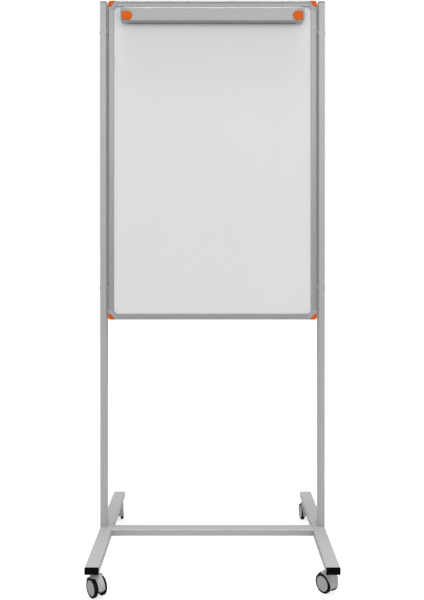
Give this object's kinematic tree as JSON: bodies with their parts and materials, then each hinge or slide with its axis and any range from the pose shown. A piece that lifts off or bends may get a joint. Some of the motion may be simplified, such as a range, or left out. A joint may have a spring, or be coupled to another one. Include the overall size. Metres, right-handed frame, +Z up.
{
  "type": "flipchart easel",
  "caption": "Mobile flipchart easel: framed white magnetic board with a sprung pad clamp between two uprights on a castor base.",
  "frame": {"origin": "on the floor under the middle of the easel", "axes": "+Z up, +X to the right of a person facing the board, +Y from the board's face to its back"},
  "size_m": [0.7157, 0.6187, 1.752],
  "materials": {
    "painted_steel": "silver-grey powder coat, satin",
    "black_plastic": "moulded, fine grain",
    "inner_block": "moulded block",
    "zinc_steel": "zinc plated",
    "white_enamel": "smooth semi-gloss writing surface",
    "board_core": "fibre board",
    "galvanised_sheet": "galvanised sheet",
    "anodised_aluminium": "satin anodised, drawn grain along the length",
    "grey_plastic": "moulded, fine grain",
    "orange_plastic": "moulded, semi-gloss",
    "grip_rubber": "matt rubber",
    "castor_plastic": "moulded nylon",
    "tyre": "soft rubber tread"
  },
  "bodies": {
    "root": {"foot_left": "painted_steel", "foot_right": "painted_steel", "crossbar": "painted_steel", "upright_left": "painted_steel", "upright_right": "painted_steel", "foot_end_caps": "black_plastic", "upright_top_caps": "black_plastic", "access_plugs": "black_plastic", "crossbar_end_blocks": "inner_block", "upright_spigots": "inner_block", "frame_bolts": "zinc_steel", "castor_stems": "zinc_steel", "castor_sockets": "zinc_steel", "frame_screws": "zinc_steel", "clamp_hinge_pins": "zinc_steel", "clamp_springs": "zinc_steel", "board_surface_sheet": "white_enamel", "board_core": "board_core", "board_backing_sheet": "galvanised_sheet", "frame_rail_top": "anodised_aluminium", "frame_rail_bottom": "anodised_aluminium", "frame_rail_left": "anodised_aluminium", "frame_rail_right": "anodised_aluminium", "clamp_hinge_rail": "anodised_aluminium", "clamp_hinge_knuckles": "anodised_aluminium", "frame_corners": "grey_plastic", "board_spacers": "grey_plastic", "corner_inserts": "orange_plastic"},
    "clamp": {"clamp_bar": "anodised_aluminium", "clamp_lip": "anodised_aluminium", "clamp_end_caps": "grey_plastic", "clamp_grip_strip": "grip_rubber"},
    "button_left": {"clamp_button_left": "orange_plastic"},
    "button_right": {"clamp_button_right": "orange_plastic"},
    "peg_left": {"pad_peg_left": "black_plastic"},
    "peg_right": {"pad_peg_right": "black_plastic"},
    "castor_front_left": {"castor_front_left_hood": "castor_plastic", "castor_front_left_axle": "zinc_steel"},
    "castor_front_left_wheel_a": {"castor_front_left_tyre_a": "tyre", "castor_front_left_disc_a": "castor_plastic"},
    "castor_front_left_wheel_b": {"castor_front_left_tyre_b": "tyre", "castor_front_left_disc_b": "castor_plastic"},
    "castor_front_right": {"castor_front_right_hood": "castor_plastic", "castor_front_right_axle": "zinc_steel"},
    "castor_front_right_wheel_a": {"castor_front_right_tyre_a": "tyre", "castor_front_right_disc_a": "castor_plastic"},
    "castor_front_right_wheel_b": {"castor_front_right_tyre_b": "tyre", "castor_front_right_disc_b": "castor_plastic"},
    "castor_rear_left": {"castor_rear_left_hood": "castor_plastic", "castor_rear_left_axle": "zinc_steel"},
    "castor_rear_left_wheel_a": {"castor_rear_left_tyre_a": "tyre", "castor_rear_left_disc_a": "castor_plastic"},
    "castor_rear_left_wheel_b": {"castor_rear_left_tyre_b": "tyre", "castor_rear_left_disc_b": "castor_plastic"},
    "castor_rear_right": {"castor_rear_right_hood": "castor_plastic", "castor_rear_right_axle": "zinc_steel"},
    "castor_rear_right_wheel_a": {"castor_rear_right_tyre_a": "tyre", "castor_rear_right_disc_a": "castor_plastic"},
    "castor_rear_right_wheel_b": {"castor_rear_right_tyre_b": "tyre", "castor_rear_right_disc_b": "castor_plastic"}
  },
  "joints": [
    {"name": "clamp_hinge", "type": "hinge", "parent": "root", "child": "clamp", "pos_m": [0, -0.031, 1.716], "axis": [-1, 0, 0], "range_deg": [0, 90], "stiffness_Nm_per_rad": 0.5, "springref_deg": -34.38},
    {"name": "button_left_press", "type": "slide", "parent": "clamp", "child": "button_left", "axis": [0, 1, 0], "range_m": [0, 0.0025], "stiffness_N_per_m": 400, "springref_m": -0.002},
    {"name": "button_right_press", "type": "slide", "parent": "clamp", "child": "button_right", "axis": [0, 1, 0], "range_m": [0, 0.0025], "stiffness_N_per_m": 400, "springref_m": -0.002},
    {"name": "peg_left_slide", "type": "slide", "parent": "root", "child": "peg_left", "axis": [1, 0, 0], "range_m": [-0.05, 0.05]},
    {"name": "peg_right_slide", "type": "slide", "parent": "root", "child": "peg_right", "axis": [1, 0, 0], "range_m": [-0.05, 0.05]},
    {"name": "castor_front_left_swivel", "type": "hinge", "parent": "root", "child": "castor_front_left", "pos_m": [-0.335, -0.262, 0.05], "axis": [0, 0, 1], "continuous": true},
    {"name": "castor_front_left_wheel_a_spin", "type": "hinge", "parent": "castor_front_left", "child": "castor_front_left_wheel_a", "pos_m": [-0.32442, -0.2753, 0.027], "axis": [0.7826, 0.6225, 0], "continuous": true},
    {"name": "castor_front_left_wheel_b_spin", "type": "hinge", "parent": "castor_front_left", "child": "castor_front_left_wheel_b", "pos_m": [-0.32442, -0.2753, 0.027], "axis": [0.7826, 0.6225, 0], "continuous": true},
    {"name": "castor_front_right_swivel", "type": "hinge", "parent": "root", "child": "castor_front_right", "pos_m": [0.335, -0.262, 0.05], "axis": [0, 0, 1], "continuous": true},
    {"name": "castor_front_right_wheel_a_spin", "type": "hinge", "parent": "castor_front_right", "child": "castor_front_right_wheel_a", "pos_m": [0.32467, -0.24849, 0.027], "axis": [-0.7944, -0.6074, 0], "continuous": true},
    {"name": "castor_front_right_wheel_b_spin", "type": "hinge", "parent": "castor_front_right", "child": "castor_front_right_wheel_b", "pos_m": [0.32467, -0.24849, 0.027], "axis": [-0.7944, -0.6074, 0], "continuous": true},
    {"name": "castor_rear_left_swivel", "type": "hinge", "parent": "root", "child": "castor_rear_left", "pos_m": [-0.335, 0.262, 0.05], "axis": [0, 0, 1], "continuous": true},
    {"name": "castor_rear_left_wheel_a_spin", "type": "hinge", "parent": "castor_rear_left", "child": "castor_rear_left_wheel_a", "pos_m": [-0.33722, 0.27886, 0.027], "axis": [-0.9914, -0.1305, 0], "continuous": true},
    {"name": "castor_rear_left_wheel_b_spin", "type": "hinge", "parent": "castor_rear_left", "child": "castor_rear_left_wheel_b", "pos_m": [-0.33722, 0.27886, 0.027], "axis": [-0.9914, -0.1305, 0], "continuous": true},
    {"name": "castor_rear_right_swivel", "type": "hinge", "parent": "root", "child": "castor_rear_right", "pos_m": [0.335, 0.262, 0.05], "axis": [0, 0, 1], "continuous": true},
    {"name": "castor_rear_right_wheel_a_spin", "type": "hinge", "parent": "castor_rear_right", "child": "castor_rear_right_wheel_a", "pos_m": [0.33278, 0.27886, 0.027], "axis": [-0.9914, -0.1305, 0], "continuous": true},
    {"name": "castor_rear_right_wheel_b_spin", "type": "hinge", "parent": "castor_rear_right", "child": "castor_rear_right_wheel_b", "pos_m": [0.33278, 0.27886, 0.027], "axis": [-0.9914, -0.1305, 0], "continuous": true}
  ]
}
